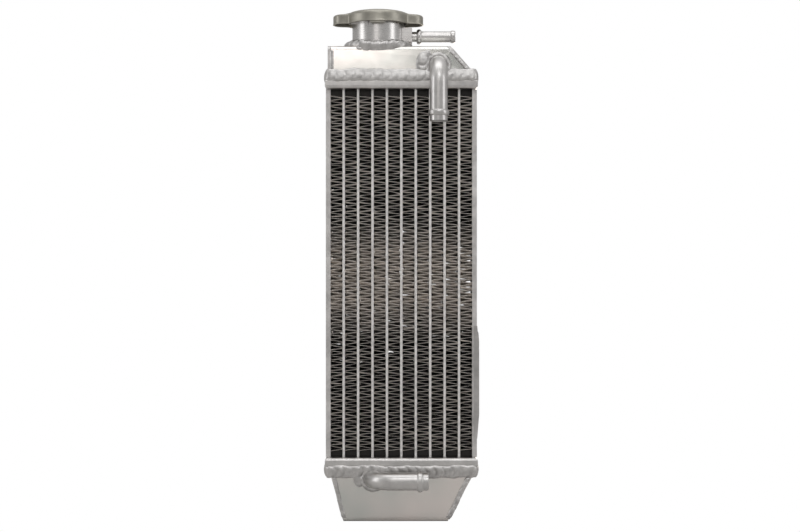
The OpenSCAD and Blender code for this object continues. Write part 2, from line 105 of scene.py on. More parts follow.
def named(name):
    obj = bpy.context.active_object
    obj.name = name
    obj.data.name = name
    return obj


def edit_pick(obj, kind, wanted):
    """Opens edit mode with only the wanted vertices, edges or faces selected."""
    activate(obj)
    bpy.ops.object.mode_set(mode="EDIT")
    bpy.ops.mesh.select_mode(type=kind)
    bpy.ops.mesh.select_all(action="DESELECT")
    bpy.ops.object.mode_set(mode="OBJECT")
    items = {"VERT": obj.data.vertices, "EDGE": obj.data.edges, "FACE": obj.data.polygons}[kind]
    for item in items:
        item.select = wanted(item)
    bpy.ops.object.mode_set(mode="EDIT")


def done_editing():
    bpy.ops.object.mode_set(mode="OBJECT")


def place_in_mesh(obj):
    activate(obj)
    bpy.ops.object.transform_apply(location=True, rotation=True, scale=True)


def apply_modifiers(obj):
    activate(obj)
    for modifier in list(obj.modifiers):
        bpy.ops.object.modifier_apply(modifier=modifier.name)


def merge_doubles(obj, distance=1e-5):
    edit_pick(obj, "VERT", lambda v: True)
    bpy.ops.mesh.select_all(action="SELECT")
    bpy.ops.mesh.remove_doubles(threshold=distance)
    done_editing()


def face_outwards(obj):
    edit_pick(obj, "FACE", lambda f: True)
    bpy.ops.mesh.select_all(action="SELECT")
    bpy.ops.mesh.normals_make_consistent(inside=False)
    done_editing()


def smooth(obj, degrees=35):
    activate(obj)
    bpy.ops.object.shade_smooth_by_angle(angle=math.radians(degrees))


def join(objects, name):
    clear_selection()
    for obj in objects:
        obj.select_set(True)
    bpy.context.view_layer.objects.active = objects[0]
    bpy.ops.object.join()
    return named(name)


def duplicate(obj, name):
    activate(obj)
    bpy.ops.object.duplicate(linked=False)
    return named(name)


def finish_piece(obj, nodes, material):
    """Gives the piece its finish and lets it stand for its CAD nodes, on their body."""
    obj.data.materials.clear()
    obj.data.materials.append(material)
    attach(obj, BODY_OF[nodes[0]])
    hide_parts(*nodes)
    return obj


def weigh_edges(obj, degrees, lip_z, lip):
    """Marks the sharp edges for the bevel; those of the outer lip, at that height, count more."""
    mesh = obj.data
    reach = [max(abs(v.co[k]) for v in mesh.vertices) for k in (0, 1)]
    weights = mesh.attributes.new("bevel_weight_edge", "FLOAT", "EDGE")
    sides = {}
    for face in mesh.polygons:
        for key in face.edge_keys:
            sides.setdefault(key, []).append(face.normal)
    for edge in mesh.edges:
        pair = sides.get(edge.key, [])
        if len(pair) != 2 or pair[0].angle(pair[1], 0) < math.radians(degrees):
            continue
        ends = [mesh.vertices[i].co for i in edge.vertices]
        outer = all(abs(c.z - lip_z) < 1e-5 and
                    (abs(c.x) > reach[0] - 3.2 * MM or abs(c.y) > reach[1] - 3.2 * MM)
                    for c in ends)
        middle = (ends[0] + ends[1]) / 2
        outer = outer and (abs(middle.x) > reach[0] - 1.2 * MM
                           or abs(middle.y) > reach[1] - 1.2 * MM)
        weights.data[edge.index].value = 1.0 if outer else 1 / lip


def free_copy(node, name):
    """Copy of a CAD node that is free of the node's body."""
    obj = duplicate(frame["nodes"][node], name)
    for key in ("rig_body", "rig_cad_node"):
        if key in obj:
            del obj[key]
    obj.parent = None
    return obj


def softened_copy(node, name, width, material, segments=2, angle=28, lip_z=None, lip=1.0):
    """Copy of a CAD node with its edges rounded."""
    obj = free_copy(node, name)
    merge_doubles(obj)
    edit_pick(obj, "FACE", lambda f: True)
    bpy.ops.mesh.select_all(action="SELECT")
    bpy.ops.mesh.dissolve_limited(angle_limit=math.radians(0.5))
    bpy.ops.mesh.quads_convert_to_tris(quad_method="BEAUTY", ngon_method="BEAUTY")
    bpy.ops.mesh.tris_convert_to_quads(face_threshold=math.radians(0.5),
                                       shape_threshold=math.radians(60))
    done_editing()
    bevel = obj.modifiers.new("rounded edges", "BEVEL")
    bevel.width = width
    bevel.segments = segments
    bevel.limit_method = "ANGLE"
    bevel.angle_limit = math.radians(angle)
    if lip_z is not None:
        weigh_edges(obj, angle, lip_z, lip)
        bevel.limit_method = "WEIGHT"
        bevel.width = width * lip
    apply_modifiers(obj)
    smooth(obj, 40)
    level = obj.modifiers.new("level faces", "WEIGHTED_NORMAL")
    level.keep_sharp = True
    apply_modifiers(obj)
    return finish_piece(obj, [node], material)


# ---------- finishes ----------


MATERIALS = {}


def node_tools(material):
    return material.node_tree.nodes, material.node_tree.links


def new_metal(name, dark, light, metallic=1.0, rough=(0.25, 0.45), blotch=60.0, grain=900.0,
              bump=0.12, bump_distance=0.0002, stretch=(1, 1, 1), wave=0.0, wave_scale=14.0,
              detail=5.0):
    """Metal with blotches of tone, uneven roughness, fine grain and slow waves in its face."""
    material = bpy.data.materials.new(name)
    material.use_nodes = True
    nodes, links = node_tools(material)
    shader = nodes["Principled BSDF"]
    shader.inputs["Metallic"].default_value = metallic
    place = nodes.new("ShaderNodeTexCoord")
    stretched = nodes.new("ShaderNodeMapping")
    stretched.inputs["Scale"].default_value = stretch
    links.new(place.outputs["Object"], stretched.inputs["Vector"])

    tone = nodes.new("ShaderNodeTexNoise")
    tone.inputs["Scale"].default_value = blotch
    tone.inputs["Detail"].default_value = detail
    tone.inputs["Roughness"].default_value = 0.62
    links.new(place.outputs["Object"], tone.inputs["Vector"])
    ramp = nodes.new("ShaderNodeValToRGB")
    ramp.color_ramp.elements[0].position = 0.32
    ramp.color_ramp.elements[0].color = (*dark, 1)
    ramp.color_ramp.elements[1].position = 0.68
    ramp.color_ramp.elements[1].color = (*light, 1)
    links.new(tone.outputs["Fac"], ramp.inputs["Fac"])
    links.new(ramp.outputs["Color"], shader.inputs["Base Color"])

    fine = nodes.new("ShaderNodeTexNoise")
    fine.inputs["Scale"].default_value = grain
    fine.inputs["Detail"].default_value = 4.0
    links.new(stretched.outputs["Vector"], fine.inputs["Vector"])
    rough_mix = nodes.new("ShaderNodeMath")
    rough_mix.operation = "MULTIPLY_ADD"
    rough_mix.inputs[1].default_value = 0.5
    links.new(fine.outputs["Fac"], rough_mix.inputs[0])
    half_tone = nodes.new("ShaderNodeMath")
    half_tone.operation = "MULTIPLY"
    half_tone.inputs[1].default_value = 0.5
    links.new(tone.outputs["Fac"], half_tone.inputs[0])
    links.new(half_tone.outputs[0], rough_mix.inputs[2])
    rough_range = nodes.new("ShaderNodeMapRange")
    rough_range.inputs["From Min"].default_value = 0.3
    rough_range.inputs["From Max"].default_value = 0.7
    rough_range.inputs["To Min"].default_value = rough[0]
    rough_range.inputs["To Max"].default_value = rough[1]
    links.new(rough_mix.outputs[0], rough_range.inputs["Value"])
    links.new(rough_range.outputs["Result"], shader.inputs["Roughness"])

    relief = nodes.new("ShaderNodeBump")
    relief.inputs["Strength"].default_value = bump
    relief.inputs["Distance"].default_value = bump_distance
    links.new(fine.outputs["Fac"], relief.inputs["Height"])
    if wave:
        slow = nodes.new("ShaderNodeTexNoise")
        slow.inputs["Scale"].default_value = wave_scale
        slow.inputs["Detail"].default_value = 1.5
        links.new(place.outputs["Object"], slow.inputs["Vector"])
        dents = nodes.new("ShaderNodeBump")
        dents.inputs["Strength"].default_value = wave
        dents.inputs["Distance"].default_value = 0.004
        links.new(slow.outputs["Fac"], dents.inputs["Height"])
        links.new(dents.outputs["Normal"], relief.inputs["Normal"])
    links.new(relief.outputs["Normal"], shader.inputs["Normal"])
    MATERIALS[name] = material


def paint_shade_inside(material, limits, share):
    """Painted shade: a near-black colour inside the limits, full colour only past them: axis,
    middle, and start and end distance.

    From start to end, measured from the middle along the axis, the colour grows from the painted
    shade to full.
    """
    nodes, links = node_tools(material)
    shader = nodes["Principled BSDF"]
    place = nodes.new("ShaderNodeTexCoord")
    split = nodes.new("ShaderNodeSeparateXYZ")
    links.new(place.outputs["Object"], split.inputs["Vector"])
    masks = []
    for axis, middle, start, end in limits:
        shift = nodes.new("ShaderNodeMath")
        shift.operation = "SUBTRACT"
        shift.inputs[1].default_value = middle
        links.new(split.outputs[axis], shift.inputs[0])
        reach = nodes.new("ShaderNodeMath")
        reach.operation = "ABSOLUTE"
        links.new(shift.outputs[0], reach.inputs[0])
        band = nodes.new("ShaderNodeMapRange")
        band.inputs["From Min"].default_value = start
        band.inputs["From Max"].default_value = end
        links.new(reach.outputs[0], band.inputs["Value"])
        masks.append(band.outputs["Result"])
    mask = masks[0]
    for other in masks[1:]:
        larger = nodes.new("ShaderNodeMath")
        larger.operation = "MAXIMUM"
        links.new(mask, larger.inputs[0])
        links.new(other, larger.inputs[1])
        mask = larger.outputs[0]
    shade = nodes.new("ShaderNodeMapRange")
    shade.inputs["To Min"].default_value = share
    links.new(mask, shade.inputs["Value"])
    colour = shader.inputs["Base Color"].links[0].from_socket
    mixed = nodes.new("ShaderNodeMix")
    mixed.data_type = "RGBA"
    links.new(shade.outputs["Result"], mixed.inputs["Factor"])
    for socket in mixed.inputs:
        if socket.name == "A" and socket.type == "RGBA":
            # near-black colour of the painted shade
            socket.default_value = (0.002, 0.002, 0.002, 1)
        if socket.name == "B" and socket.type == "RGBA":
            links.new(colour, socket)
    result = [o for o in mixed.outputs if o.type == "RGBA"][0]
    links.new(result, shader.inputs["Base Color"])


def make_materials(looks):
    base = Vector(looks.aluminium)
    new_metal("tank_sheet", (0.62, 0.635, 0.61), (0.82, 0.765, 0.735),
              rough=(0.14, 0.2), blotch=22, grain=160, bump=0.008,
              wave=0.016, wave_scale=16, detail=1.5)
    new_metal("header_sheet", base * 0.66, base * 0.9, rough=(0.26, 0.4),
              blotch=90, grain=700, bump=0.06, wave=0.1, wave_scale=40)
    # painted shade: the header trays turn near-black where they lie over the core, within its
    # footprint
    paint_shade_inside(MATERIALS["header_sheet"], (("X", 0, 51.2 * MM, 51.8 * MM),
                                              ("Y", 0, 15.6 * MM, 16.2 * MM)), 0.05)
    new_metal("side_sheet", base * 0.62, base * 0.96, metallic=0.9,
              rough=(0.34, 0.55), blotch=90, grain=1400, bump=0.2)
    new_metal("core_tube", base * 0.84, base * 1.18, metallic=0.85,
              rough=(0.34, 0.55), blotch=260, grain=1400, bump=0.3)
    # painted shade: the tubes turn near-black inside the core, between its front and back
    paint_shade_inside(MATERIALS["core_tube"], (("Y", 0, 14.2 * MM, 15.4 * MM),), 0.06)
    fin = Vector(looks.fin_strip)
    new_metal("fin_strip", fin * 0.78, fin * 1.06, rough=(0.32, 0.5),
              metallic=0.6, blotch=180, grain=1200, bump=0.1)
    # painted shade on the fins inside the core; the Z row keeps a band at the camera's height in
    # full colour, a painted light band that real fins don't have
    paint_shade_inside(MATERIALS["fin_strip"], (("Y", 0, 14.4 * MM, 15.0 * MM),
                                           ("Z", 176 * MM, 46 * MM, 18 * MM)), 0.03)
    new_metal("weld_metal", base * 0.56, base * 0.86, rough=(0.3, 0.5),
              blotch=210, grain=1300, bump=0.14, bump_distance=0.0003,
              wave=0.1, wave_scale=220)
    new_metal("pipe", base * 0.66, base * 0.88, rough=(0.27, 0.4), blotch=70,
              grain=500, bump=0.05, stretch=(1, 1, 0.15))
    new_metal("pipe_level", base * 0.66, base * 0.88, rough=(0.27, 0.4),
              blotch=70, grain=500, bump=0.05, stretch=(0.15, 1, 1))
    new_metal("machined", base * 0.7, base * 0.92, rough=(0.22, 0.34), blotch=50,
              grain=500, bump=0.08, stretch=(0.3, 0.3, 9))
    new_metal("bracket_plate", base * 0.5, base * 0.76, rough=(0.26, 0.42),
              blotch=60, grain=800, bump=0.08, wave=0.06, wave_scale=60)
    cap = Vector(looks.plated_steel)
    new_metal("plated_steel", cap * 0.8, cap * 1.2, rough=(0.34, 0.5),
              blotch=110, grain=1100, bump=0.1)
    new_metal("spring_steel", cap * 0.6, cap * 0.9, rough=(0.25, 0.4))
    new_metal("valve_brass", (0.42, 0.28, 0.1), (0.66, 0.48, 0.2),
              rough=(0.25, 0.42), blotch=160)
    new_metal("black_rubber", (0.012, 0.012, 0.013), (0.03, 0.03, 0.031),
              metallic=0.0, rough=(0.55, 0.75), blotch=120, grain=1500,
              bump=0.25)


# ---------- turned and bent pieces ----------

AXES = {"Z": Vector((0, 0, 1)), "X": Vector((1, 0, 0)), "Y": Vector((0, -1, 0))}
TURNS = {"Z": (0, 0, 0), "X": (0, math.pi / 2, 0), "Y": (math.pi / 2, 0, 0)}


def start_ring(name, centre, axis, radius, sides=56):
    clear_selection()
    bpy.ops.mesh.primitive_circle_add(vertices=sides, radius=radius, location=centre,
                                      rotation=TURNS[axis], fill_type="NOTHING")
    obj = named(name)
    place_in_mesh(obj)
    bpy.ops.object.mode_set(mode="EDIT")
    bpy.ops.mesh.select_mode(type="VERT")
    bpy.ops.mesh.select_all(action="SELECT")
    return obj


def next_ring(centre, axis, step, ratio):
    """Extrudes the selected ring along the axis and scales it about its new centre."""
    bpy.ops.mesh.extrude_region_move(TRANSFORM_OT_translate={"value": AXES[axis] * step})
    if abs(ratio - 1) > 1e-6:
        bpy.ops.transform.resize(value=(ratio, ratio, ratio), center_override=centre)


def draw_rings(foot, axis, rings):
    """Goes on from the selected ring through (radius, height) pairs."""
    radius, height = rings[0]
    for next_radius, next_height in rings[1:]:
        centre = foot + AXES[axis] * next_height
        next_ring(centre, axis, next_height - height, next_radius / radius)
        radius, height = next_radius, next_height


def turned(name, foot, axis, rings, sides=56):
    """Closed ring-shaped solid: the outline returns to its first point."""
    obj = start_ring(name, foot + AXES[axis] * rings[0][1], axis, rings[0][0], sides)
    draw_rings(foot, axis, [*rings, rings[0]])
    done_editing()
    merge_doubles(obj)
    face_outwards(obj)
    smooth(obj, 32)
    return obj


def rolled_bead(pipe_r, bead_r, middle, half, steps=8):
    """Rings of a round bead that stands out of a pipe."""
    rings = []
    for k in range(steps + 1):
        turn = math.pi * k / steps
        rings.append((pipe_r + (bead_r - pipe_r) * math.sin(turn) ** 0.8,
                      middle - half * math.cos(turn)))
    return rings


class Sizes(bpy.types.PropertyGroup):
    """Sizes of the detail that the frame doesn't carry"""

    louvre_tilt: FloatProperty(
        name="Louvre height", default=0.42 * MM, min=0.1 * MM, max=0.6 * MM, unit="LENGTH",
        description="How far a louvre's edges stand above and below its fin leg")
    louvres: IntProperty(
        name="Louvres", default=7, min=3, max=9, description="Louvres in each half of a fin leg")
    fin_wander: FloatProperty(
        name="Fin wander", default=1.2 * MM, min=0.0, max=1.5 * MM, unit="LENGTH",
        description="How far the fin legs stray from their even spacing")
    nose_tilt: FloatProperty(
        name="Nose tilt", default=0.34 * MM, min=0.0, max=0.5 * MM, unit="LENGTH",
        description="How far the front and back edges of a fin leg are bent up and down")
    crest: FloatProperty(
        name="Crest share", default=0.42, min=0.0, max=0.8,
        description="Share of the fin pitch that is climbed by the flat crests on the tubes")
    band_block: FloatProperty(
        name="Band block", default=1.0, min=0.0, max=1.0,
        description="Share of the sag that is kept in the clear band, at its left side")
    clear_z: FloatProperty(
        name="Clear band height", default=172 * MM, min=60 * MM, max=300 * MM, unit="LENGTH",
        description="Height of the band where the fin legs sag less, most at its right side")
    fin_sag: FloatProperty(
        name="Fin sag", default=8 * MM, min=0.0, max=12 * MM, unit="LENGTH",
        description="How far the fin legs stray inside the core, between the front and back")
    weld_pitch: FloatProperty(
        name="Weld pitch", default=6.6 * MM, min=2 * MM, max=9 * MM, unit="LENGTH",
        description="Distance between the ripples of the header welds")
    edge_round: FloatProperty(
        name="Edge rounding", default=0.5 * MM, min=0.1 * MM, max=1 * MM, unit="LENGTH",
        description="Rounding of the sheet edges")


class Looks(bpy.types.PropertyGroup):
    """Colours of the main finishes"""

    aluminium: FloatVectorProperty(
        name="Aluminium", subtype="COLOR", size=3, default=(0.80, 0.785, 0.775), min=0, max=1.1,
        description="Bare aluminium of tanks, pipes and welds")
    fin_strip: FloatVectorProperty(
        name="Fin strip", subtype="COLOR", size=3, default=(0.92, 0.86, 0.8), min=0, max=1,
        description="Thin strip of the fins")
    plated_steel: FloatVectorProperty(
        name="Plated steel", subtype="COLOR", size=3, default=(0.40, 0.385, 0.34), min=0, max=1,
        description="Plated steel of the pressure cap")


# ---------- core ----------


def louvre_bank(length, margin, pitch, count, tilt, first_y):
    """One half of a fin leg: louvres side by side, each twisted out of the strip."""
    clear_selection()
    bpy.ops.mesh.primitive_grid_add(x_subdivisions=3, y_subdivisions=1, size=1, location=(0, 0, 0))
    obj = named("louvre")
    obj.scale = (length, pitch, 1)
    obj.location = (0, first_y + pitch / 2, 0)
    place_in_mesh(obj)
    inner = length / 6
    edit_pick(obj, "VERT", lambda v: abs(v.co.x) < inner * 1.1)
    bpy.ops.transform.resize(value=((length / 2 - margin) / inner, 1, 1), center_override=(0, 0, 0))
    for side in (-1, 1):
        edit_pick(obj, "VERT", lambda v: abs(v.co.x) < length / 2 - margin / 2
                  and (v.co.y - first_y - pitch / 2) * side > 0)
        bpy.ops.transform.translate(value=(0, 0, side * tilt))
    done_editing()
    array = obj.modifiers.new("louvres", "ARRAY")
    array.count = count
    array.use_relative_offset = False
    array.use_constant_offset = True
    array.constant_offset_displace = (0, pitch, 0)
    mirror = obj.modifiers.new("other half", "MIRROR")
    mirror.use_axis = (False, True, False)
    mirror.use_mirror_merge = False
    apply_modifiers(obj)
    return obj


def flat_strip(length, y0, y1):
    clear_selection()
    bpy.ops.mesh.primitive_plane_add(size=1, location=(0, (y0 + y1) / 2, 0))
    obj = named("strip")
    obj.scale = (length, y1 - y0, 1)
    place_in_mesh(obj)
    return obj


def make_fins(sizes):
    low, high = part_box(FINS[0])
    width = high.x - low.x
    legs = 134
    rise = (high.z - low.z) / legs
    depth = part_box(TUBES[0])[1].y * 2 - 0.4 * MM
    length = math.hypot(width, rise) - 0.05 * MM
    nose = 2.0 * MM
    spine = 1.4 * MM
    pitch = (depth - 2 * nose - spine) / (2 * sizes.louvres)
    bank = louvre_bank(length, 0.9 * MM, pitch, sizes.louvres, sizes.louvre_tilt, spine / 2)
    strips = [flat_strip(length, -spine / 2, spine / 2),
              flat_strip(length, depth / 2 - nose, depth / 2),
              flat_strip(length, -depth / 2, -depth / 2 + nose)]
    for strip in strips[1:]:
        for side in (-1, 1):
            edit_pick(strip, "VERT", lambda v: (abs(v.co.y) - depth / 2 + nose / 2) * side > 0)
            bpy.ops.transform.translate(value=(0, 0, side * sizes.nose_tilt))
        done_editing()
    leg = join([bank, *strips], "leg")
    climb = (1 - sizes.crest) * rise
    leg.rotation_euler = (0, -math.atan2(climb, width), 0)
    leg.location = (0, 0, rise / 2)
    place_in_mesh(leg)
    crest = flat_strip(sizes.crest * rise, -depth / 2, depth / 2)
    crest.rotation_euler = (0, math.pi / 2, 0)
    crest.location = (width / 2 - 0.06 * MM, 0, rise)
    place_in_mesh(crest)
    leg = join([leg, crest], "leg")
    back = duplicate(leg, "leg_back")
    back.scale = (-1, 1, 1)
    back.location = (0, 0, rise)
    place_in_mesh(back)
    edit_pick(back, "FACE", lambda f: True)
    bpy.ops.mesh.select_all(action="SELECT")
    bpy.ops.mesh.flip_normals()
    done_editing()
    fin = join([leg, back], "fin")
    fin.location = ((low.x + high.x) / 2, 0, low.z + 0.2 * MM)
    place_in_mesh(fin)
    array = fin.modifiers.new("legs", "ARRAY")
    array.count = legs // 2
    array.use_relative_offset = False
    array.use_constant_offset = True
    array.constant_offset_displace = (0, 0, 2 * rise)
    thick = fin.modifiers.new("thickness", "SOLIDIFY")
    thick.thickness = 0.1 * MM
    thick.offset = 0
    apply_modifiers(fin)
    texture = bpy.data.textures.new("fin_wander", "CLOUDS")
    texture.noise_scale = 5.5 * MM
    texture.noise_depth = 1
    fin.vertex_groups.new(name="inside")
    # painted shade: dark sheets stood at the front and back of the core in the gaps between the
    # headers and the fins, painted near-black by the fin finish
    shade_sheets = []
    for side in (-1, 1):
        for z0, z1 in ((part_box("bottom_header")[1].z - 0.1 * MM, low.z + 2.2 * MM),
                       (high.z - 2 * MM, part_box("top_header")[0].z + 0.1 * MM)):
            shade_sheet = flat_strip(width - 0.1 * MM, 0, z1 - z0)
            shade_sheet.rotation_euler = (math.pi / 2, 0, 0)
            shade_sheet.location = ((low.x + high.x) / 2, side * 12.5 * MM, z0)
            place_in_mesh(shade_sheet)
            thick = shade_sheet.modifiers.new("thickness", "SOLIDIFY")
            thick.thickness = 0.1 * MM
            thick.offset = 0
            apply_modifiers(shade_sheet)
            shade_sheets.append(shade_sheet)
    fin = join([fin, *shade_sheets], "fin_strip_1")
    array_top = high.z - 2 * MM
    first_x = (low.x + high.x) / 2
    for number, node in enumerate(FINS[1:], 2):
        obj = duplicate(fin, f"fin_strip_{number}")
        a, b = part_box(node)
        obj.location = ((a.x + b.x) / 2 - first_x, 0, 0)
        place_in_mesh(obj)
    for index, node in enumerate(FINS):
        obj = bpy.data.objects[f"fin_strip_{index + 1}"]
        place = index / (len(FINS) - 1)
        clear_z = sizes.clear_z + 14 * MM * (place - 0.3)
        inside = obj.vertex_groups["inside"]
        for v in obj.data.vertices:
            share = max(0.0, 1 - (v.co.y / (depth / 2)) ** 2)
            away = min(1.0, max(0.0, (abs(v.co.z - clear_z) - 12 * MM) / (26 * MM)))
            away = away * away * (3 - 2 * away)
            least = sizes.band_block * (1 - 0.5 * place ** 4)
            if v.co.z > array_top or v.co.z < low.z + 2 * MM:
                share = 0.0
            inside.add([v.index], share * (least + (1 - least) * away), "REPLACE")
        stray = obj.modifiers.new("wander", "DISPLACE")
        stray.texture = texture
        stray.texture_coords = "LOCAL"
        stray.direction = "Z"
        stray.mid_level = 0.5
        stray.strength = sizes.fin_wander
        sag = obj.modifiers.new("sag", "DISPLACE")
        sag.texture = texture
        sag.texture_coords = "LOCAL"
        sag.direction = "Z"
        sag.mid_level = 0.5
        sag.strength = sizes.fin_sag
        sag.vertex_group = "inside"
        apply_modifiers(obj)
        finish_piece(obj, [node], MATERIALS["fin_strip"])


# ---------- welds ----------


def ripple(u):
    """Height of a bead across one ripple, 0 to 1: a round back and a sharp valley."""
    part = u - math.floor(u)
    return math.sin(math.pi * min(1.0, part * 0.96 + 0.04)) ** 0.45


def weld_bead(name, path, outs, width, height, pitch, arc=0.45, seed=0.0, closed=False,
              depth=0.25, across=12, along=9, relief=0.24, taper=False):
    """Bead along a path of points; outs holds the direction in which it bulges at each point."""
    points = list(path)
    directions = [Vector(o).normalized() for o in outs]
    if closed:
        points.append(points[0])
        directions.append(directions[0])
    lengths = [0.0]
    for a, b in zip(points, points[1:]):
        lengths.append(lengths[-1] + (b - a).length)
    total = lengths[-1]
    count = max(6, round(total / pitch * along))
    ripples = round(total / pitch) if closed else total / pitch
    verts, faces = [], []
    rings = count if closed else count + 1
    segment = 0
    for i in range(rings):
        s = total * i / count
        while segment < len(points) - 2 and lengths[segment + 1] < s:
            segment += 1
        step = (s - lengths[segment]) / max(lengths[segment + 1] - lengths[segment], 1e-9)
        centre = points[segment].lerp(points[segment + 1], step)
        out = directions[segment].lerp(directions[segment + 1], step).normalized()
        ahead = (points[segment + 1] - points[segment]).normalized()
        side = ahead.cross(out).normalized()
        u0 = ripples * i / count
        stray = 0.0 if closed else 0.35 * noise.noise(Vector((u0 * 0.9, seed, 3.1)))
        swell = 1 + 0.13 * noise.noise(Vector((u0 * 0.8, seed, 0.0)))
        if taper:
            end = min(s, total - s) / (0.55 * width)
            swell *= math.sqrt(max(0.02, min(1.0, end)))
        drift = 0.1 * width * noise.noise(Vector((u0 * 0.6, seed, 7.7)))
        for j in range(across + 1):
            turn = math.pi * j / across
            edge = math.cos(turn)
            r = ripple(u0 + stray + arc * edge * edge)
            half = 0.5 * width * swell * (1 - 0.10 * (1 - r))
            lift = height * swell * math.sin(turn) ** 0.75 * (1 - relief * (1 - r))
            rough = 0.05 * height * noise.noise(centre * 900 + Vector((j, seed, 0)))
            verts.append(centre + side * (edge * half + drift) + out * (lift + rough))
        verts.append(centre - side * 0.46 * width - out * depth * height)
        verts.append(centre + side * 0.46 * width - out * depth * height)
    ring = across + 3
    last = rings if closed else rings - 1
    for i in range(last):
        a, b = i * ring, ((i + 1) % rings) * ring
        for j in range(ring):
            k = (j + 1) % ring
            faces.append((a + j, a + k, b + k, b + j))
    if not closed:
        faces.append(tuple(range(ring - 1, -1, -1)))
        faces.append(tuple((rings - 1) * ring + j for j in range(ring)))
    mesh = bpy.data.meshes.new(name)
    mesh.from_pydata([tuple(v) for v in verts], [], faces)
    obj = bpy.data.objects.new(name, mesh)
    bpy.context.scene.collection.objects.link(obj)
    face_outwards(obj)
    smooth(obj, 60)
    return obj


def straight(a, b, steps=6):
    return [a.lerp(b, i / steps) for i in range(steps + 1)]


def loop_round(half_x, half_y, z, corner=3 * MM, steps=5, centre_x=0.0):
    """Points and outward directions of a rounded rectangle seen from above."""
    points, outs = [], []
    corners = [(1, -1, -90), (1, 1, 0), (-1, 1, 90), (-1, -1, 180)]
    for sx, sy, start in corners:
        cx = centre_x + sx * (half_x - corner)
        cy = sy * (half_y - corner)
        for k in range(steps + 1):
            turn = math.radians(start + 90 * k / steps)
            out = Vector((math.cos(turn), math.sin(turn), 0))
            points.append(Vector((cx, cy, z)) + out * corner)
            outs.append(out)
    return points, outs


def make_header_welds(sizes):
    weld = MATERIALS["weld_metal"]
    for node, name, up, width in (("top_header_weld", "weld_top_header", 1, 9.6 * MM),
                                  ("bottom_header_weld", "weld_bottom_header", -1, 9.6 * MM)):
        low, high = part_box(node)
        half_x = (high.x - low.x) / 2 - 1.9 * MM
        half_y = (high.y - low.y) / 2 - 1.5 * MM
        middle = (low.z + high.z) / 2 - up * 0.5 * MM
        points, outs = loop_round(half_x, half_y, middle)
        outs = [(o + Vector((0, 0, 0.18 * up))).normalized() for o in outs]
        bead = weld_bead(name, points, outs, width, (2.0 if up > 0 else 2.2) * MM,
                         sizes.weld_pitch, arc=0.55, seed=2.0 * up, closed=True,
                         relief=0.24 if up > 0 else 0.5, across=14, along=11)
        finish_piece(bead, [node], weld)


def make_end_welds():
    weld = MATERIALS["weld_metal"]
    low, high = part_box("top_tank_wrap")
    right_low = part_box("top_tank_right_end")[0]
    inset = 1.0 * MM
    y = -low.y
    weld_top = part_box("top_header_weld")[1].z
    beads = []
    chamfer_top = Vector((right_low.x + 2.2 * MM, 0, high.z - 2.4 * MM))
    chamfer_low = Vector((chamfer_top.x + 14.0 * MM, 0, high.z - 18.2 * MM))
    for side in (-1, 1):
        out = Vector((-0.5, side, 0))
        a = Vector((low.x + inset, side * (y - 0.6 * MM), weld_top - 1 * MM))
        b = Vector((a.x, a.y, high.z - 2.6 * MM))
        path = straight(a, b, 4)
        beads.append(weld_bead("bead", path, [out] * len(path), 3.2 * MM, 1.1 * MM, 2.6 * MM,
                               seed=4 + side, relief=0.18, taper=True))
        out = Vector((0.45, side, 0.35))
        a = Vector((chamfer_top.x, side * (y - 0.5 * MM), chamfer_top.z))
        b = Vector((chamfer_low.x, a.y, chamfer_low.z))
        path = straight(a, b, 5)
        beads.append(weld_bead("bead", path, [out] * len(path), 3.6 * MM, 1.3 * MM, 3.4 * MM,
                               seed=9 + side, relief=0.35, taper=True))
    bead = join(beads, "weld_top_ends")
    finish_piece(bead, ["top_end_welds"], weld)

    left_low, left_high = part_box("bottom_tank_left_end")
    right_low, right_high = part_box("bottom_tank_right_end")
    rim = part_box("bottom_header_weld")[0].z
    beads = []
    for side in (-1, 1):
        y_bead = side * (left_high.y - 0.4 * MM)
        foot = Vector((left_high.x - 1.6 * MM, y_bead, 2.2 * MM))
        head = Vector((left_low.x + 4.4 * MM, y_bead, rim + 1.5 * MM))
        path = straight(foot, head, 6)
        beads.append(weld_bead("bead", path, [Vector((-0.5, side, 0))] * len(path), 3.4 * MM,
                               1.15 * MM, 3.2 * MM, seed=14 + side, relief=0.2, taper=True))
        foot = Vector((right_low.x + 2.6 * MM, y_bead, 2.0 * MM))
        head = Vector((right_high.x - 4.6 * MM, y_bead, rim + 1.5 * MM))
        path = straight(foot, head, 7)
        beads.append(weld_bead("bead", path, [Vector((0.6, side, 0))] * len(path), 4.0 * MM,
                               1.7 * MM, 4.4 * MM, seed=21 + side, relief=0.42, taper=True))
    bead = join(beads, "weld_bottom_ends")
    finish_piece(bead, ["bottom_end_welds"], weld)


def ring_path(centre, axis, radius, steps=40):
    """Circle about an axis, with directions that lean outwards from the foot."""
    points, outs = [], []
    along = AXES[axis]
    side = Vector((1, 0, 0)) if axis != "X" else Vector((0, 1, 0))
    other = along.cross(side)
    for k in range(steps):
        turn = 2 * math.pi * k / steps
        radial = side * math.cos(turn) + other * math.sin(turn)
        points.append(centre + radial * radius)
        outs.append((radial + along * 0.9).normalized())
    return points, outs


